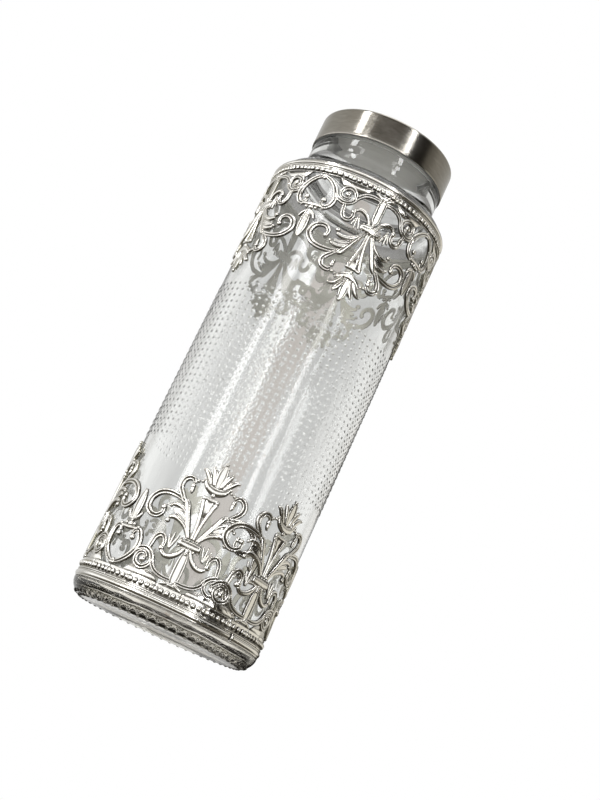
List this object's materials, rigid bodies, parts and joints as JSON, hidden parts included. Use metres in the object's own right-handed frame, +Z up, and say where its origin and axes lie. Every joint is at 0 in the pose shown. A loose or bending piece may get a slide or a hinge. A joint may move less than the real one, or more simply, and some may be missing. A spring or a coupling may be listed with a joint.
{
  "type": "glass bottle",
  "caption": "Wide-mouth clear glass bottle with a brushed metal screw cap, wrapped at foot and shoulder by silver openwork bands of palmettes and scrolls.",
  "frame": {"origin": "on the bottle's axis, in the plane of the ring that it stands on", "axes": "+Z up the bottle's axis towards the cap, -Y to the front as it is pictured, +X to the viewer's right"},
  "size_m": [0.0872, 0.0872, 0.2496],
  "materials": {
    "clear_glass": "moulded clear glass with small raised dots",
    "silver_plate": "pressed and polished silver plate, slightly warm, darkened in its hollows",
    "cap_steel": "brushed round the cap",
    "insert_plastic": "moulded grey",
    "liner_foam": "soft pressed foam"
  },
  "bodies": {
    "bottle": {"glass_bottle": "clear_glass", "lower_rim_wire": "silver_plate", "lower_bead_strip": "silver_plate", "lower_palmette_1": "silver_plate", "lower_palmette_2": "silver_plate", "lower_palmette_3": "silver_plate", "lower_palmette_4": "silver_plate", "lower_palmette_5": "silver_plate", "lower_loop_1": "silver_plate", "lower_loop_2": "silver_plate", "lower_loop_3": "silver_plate", "lower_loop_4": "silver_plate", "lower_loop_5": "silver_plate", "upper_rim_wire": "silver_plate", "upper_bead_strip": "silver_plate", "upper_palmette_1": "silver_plate", "upper_palmette_2": "silver_plate", "upper_palmette_3": "silver_plate", "upper_palmette_4": "silver_plate", "upper_palmette_5": "silver_plate", "upper_loop_1": "silver_plate", "upper_loop_2": "silver_plate", "upper_loop_3": "silver_plate", "upper_loop_4": "silver_plate", "upper_loop_5": "silver_plate"},
    "liner": {"cap_liner": "liner_foam"},
    "cap": {"cap_shell": "cap_steel", "cap_insert": "insert_plastic"}
  },
  "joints": [
    {"name": "cap_lift", "type": "slide", "parent": "bottle", "child": "liner", "axis": [0, 0, 1], "range_m": [0, 0.0168]},
    {"name": "cap_turn", "type": "hinge", "parent": "liner", "child": "cap", "pos_m": [0, 0, 0.2424], "axis": [0, 0, 1], "range_deg": [0, 1440]}
  ],
  "couplings": [
    {"joint": "cap_lift", "follows": "cap_turn", "m_per_rad": 0.00066845}
  ]
}
